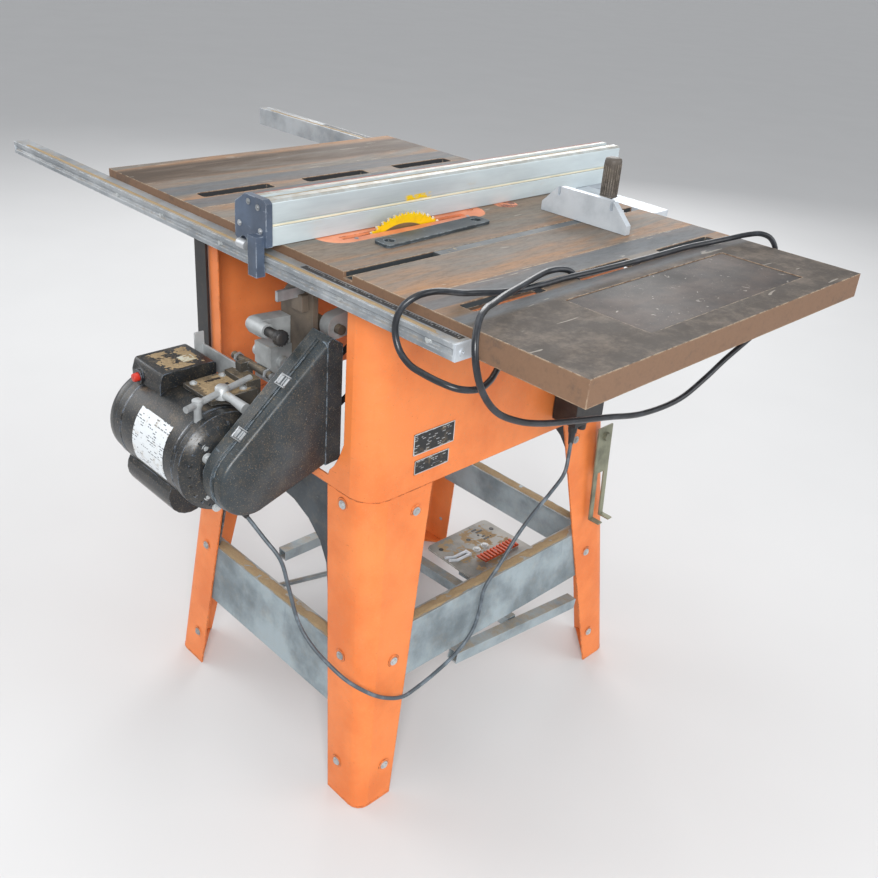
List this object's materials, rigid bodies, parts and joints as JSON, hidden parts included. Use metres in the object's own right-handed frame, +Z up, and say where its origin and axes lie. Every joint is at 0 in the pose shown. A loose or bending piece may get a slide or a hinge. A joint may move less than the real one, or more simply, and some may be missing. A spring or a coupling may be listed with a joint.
{
  "type": "contractor table saw",
  "caption": "Contractor table saw with cast iron table and wings, orange cabinet and legs, rear belt-driven motor, rip fence and miter gauge.",
  "frame": {"origin": "centre of the object's box at floor level, without the mains cord", "axes": "+X to the operator's right, along the rails; -Y towards the operator; +Z up"},
  "size_m": [1.635, 1.119, 1.071],
  "materials": {
    "cast_iron_top": "machined, worn, light rust",
    "dark_casting": "rough cast",
    "orange_paint": "satin enamel, dusty",
    "charcoal_paint": "satin, dusty",
    "black_paint": "satin enamel",
    "black_plastic": "matt",
    "red_plastic": "gloss",
    "bright_steel": "turned and ground",
    "zinc_plate": "zinc plated",
    "aluminium": "anodised",
    "slate_paint": "satin",
    "blade_coat": "thin coating over steel",
    "insert_paint": "satin enamel",
    "brown_grip": "ribbed",
    "belt_rubber": "matt",
    "cord_rubber": "satin"
  },
  "bodies": {
    "stand": {"main_table": "cast_iron_top", "wing_left": "cast_iron_top", "wing_right": "cast_iron_top", "wing_inset_panel": "dark_casting", "trunnion": "dark_casting", "cabinet": "orange_paint", "leg_rear_left": "orange_paint", "leg_rear_right": "orange_paint", "leg_front_left": "orange_paint", "leg_front_right": "orange_paint", "rear_rail": "charcoal_paint", "front_rail": "charcoal_paint", "arch_front": "charcoal_paint", "arch_rear": "charcoal_paint", "stretcher_left": "charcoal_paint", "stretcher_rear": "charcoal_paint", "stretcher_front": "charcoal_paint", "stretcher_right": "charcoal_paint", "base_tube_left": "charcoal_paint", "base_cross_tube": "charcoal_paint", "base_tube_right": "charcoal_paint", "rear_corner_strip": "black_paint", "switch_box": "black_plastic", "fork_bracket": "zinc_plate", "rear_rail_cap": "aluminium", "front_rail_cap": "aluminium", "throat_insert": "insert_paint", "mains_cord": "cord_rubber", "mains_plug": "cord_rubber", "motor_cord": "cord_rubber"},
    "tilt_carriage": {"cradle": "dark_casting", "motor_body": "black_paint", "motor_bell_front": "black_paint", "motor_junction_box": "black_paint", "capacitor_cover": "black_paint", "motor_cradle": "zinc_plate", "rear_arm": "zinc_plate", "splitter_bar": "bright_steel", "guard_back": "black_paint", "drive_belt": "belt_rubber"},
    "arbor_swing": {"arbor_arm": "zinc_plate"},
    "blade_rotor": {"blade": "blade_coat", "arbor": "bright_steel", "arbor_nut_and_flange": "bright_steel"},
    "motor_rotor": {"motor_pulley": "bright_steel"},
    "height_wheel": {"height_handwheel": "black_paint"},
    "tilt_wheel": {"tilt_handwheel": "black_paint"},
    "rip_fence": {"fence_body": "aluminium", "fence_rear_cap": "slate_paint", "fence_head": "aluminium"},
    "fence_clamp_lever": {"fence_lever": "black_plastic"},
    "miter_runner": {"miter_bar": "bright_steel"},
    "miter_gauge": {"miter_head": "aluminium"},
    "miter_knob": {"miter_handle": "brown_grip"},
    "paddle": {"switch_paddle": "red_plastic"},
    "reset": {"reset_button": "red_plastic"},
    "guard_lid": {"guard_cover": "black_paint"},
    "pedal": {"lift_pedal": "charcoal_paint"},
    "lock_knob": {"arm_lock_knob": "black_plastic"},
    "wrench": {"arbor_wrench": "slate_paint"}
  },
  "joints": [
    {"name": "blade_tilt", "type": "hinge", "parent": "stand", "child": "tilt_carriage", "pos_m": [-0.2525, 0.0055, 0.965], "axis": [0, -1, 0], "range_deg": [0, 45], "deforming": ["motor_cord"]},
    {"name": "arm_height", "type": "hinge", "parent": "tilt_carriage", "child": "arbor_swing", "pos_m": [-0.2775, 0.2855, 0.835], "axis": [-1, 0, 0], "range_deg": [-7.5, 17], "deforming": ["drive_belt"]},
    {"name": "blade_spin", "type": "hinge", "parent": "arbor_swing", "child": "blade_rotor", "pos_m": [-0.2525, 0.1205, 0.863], "axis": [1, 0, 0], "continuous": true},
    {"name": "motor_spin", "type": "hinge", "parent": "tilt_carriage", "child": "motor_rotor", "pos_m": [-0.3055, 0.4755, 0.643], "axis": [1, 0, 0], "continuous": true},
    {"name": "height_crank", "type": "hinge", "parent": "stand", "child": "height_wheel", "pos_m": [-0.1925, -0.2915, 0.775], "axis": [0, 1, 0], "range_deg": [-150, 340]},
    {"name": "tilt_crank", "type": "hinge", "parent": "stand", "child": "tilt_wheel", "pos_m": [0.0385, 0.0255, 0.765], "axis": [1, 0, 0], "range_deg": [0, 360]},
    {"name": "fence_slide", "type": "slide", "parent": "stand", "child": "rip_fence", "axis": [1, 0, 0], "range_m": [-0.012, 0.75]},
    {"name": "fence_clamp", "type": "hinge", "parent": "rip_fence", "child": "fence_clamp_lever", "pos_m": [-0.1955, -0.4825, 0.941], "axis": [-1, 0, 0], "range_deg": [0, 60]},
    {"name": "miter_slide", "type": "slide", "parent": "stand", "child": "miter_runner", "axis": [0, 1, 0], "range_m": [0, 0.14]},
    {"name": "miter_swivel", "type": "hinge", "parent": "miter_runner", "child": "miter_gauge", "pos_m": [-0.3845, -0.2095, 0.965], "axis": [0, 0, 1], "range_deg": [-45, 45]},
    {"name": "miter_lock", "type": "hinge", "parent": "miter_gauge", "child": "miter_knob", "pos_m": [-0.3975, -0.2265, 1.025], "axis": [0, 0, 1], "range_deg": [0, 270]},
    {"name": "switch_push", "type": "hinge", "parent": "stand", "child": "paddle", "pos_m": [-0.4635, -0.1925, 0.68], "axis": [1, 0, 0], "range_deg": [0, 7], "stiffness_Nm_per_rad": 0.6},
    {"name": "reset_push", "type": "slide", "parent": "tilt_carriage", "child": "reset", "axis": [0, -1, 0], "range_m": [0, 0.003], "stiffness_N_per_m": 400},
    {"name": "guard_lift_off", "type": "slide", "parent": "tilt_carriage", "child": "guard_lid", "axis": [-1, 0, 0], "range_m": [0, 0.12]},
    {"name": "pedal_rock", "type": "hinge", "parent": "stand", "child": "pedal", "pos_m": [-0.3225, -0.0945, 0.203], "axis": [1, 0, 0], "range_deg": [-6, 6]},
    {"name": "arm_lock", "type": "hinge", "parent": "tilt_carriage", "child": "lock_knob", "pos_m": [-0.2525, 0.3795, 0.833], "axis": [1, 0, 0], "range_deg": [0, 360]},
    {"name": "wrench_lift", "type": "slide", "parent": "stand", "child": "wrench", "axis": [0, 0, 1], "range_m": [0, 0.1]}
  ],
  "couplings": [
    {"joint": "motor_spin", "follows": "blade_spin", "ratio": 1},
    {"joint": "height_crank", "follows": "arm_height", "ratio": 20},
    {"joint": "tilt_crank", "follows": "blade_tilt", "ratio": 8}
  ]
}
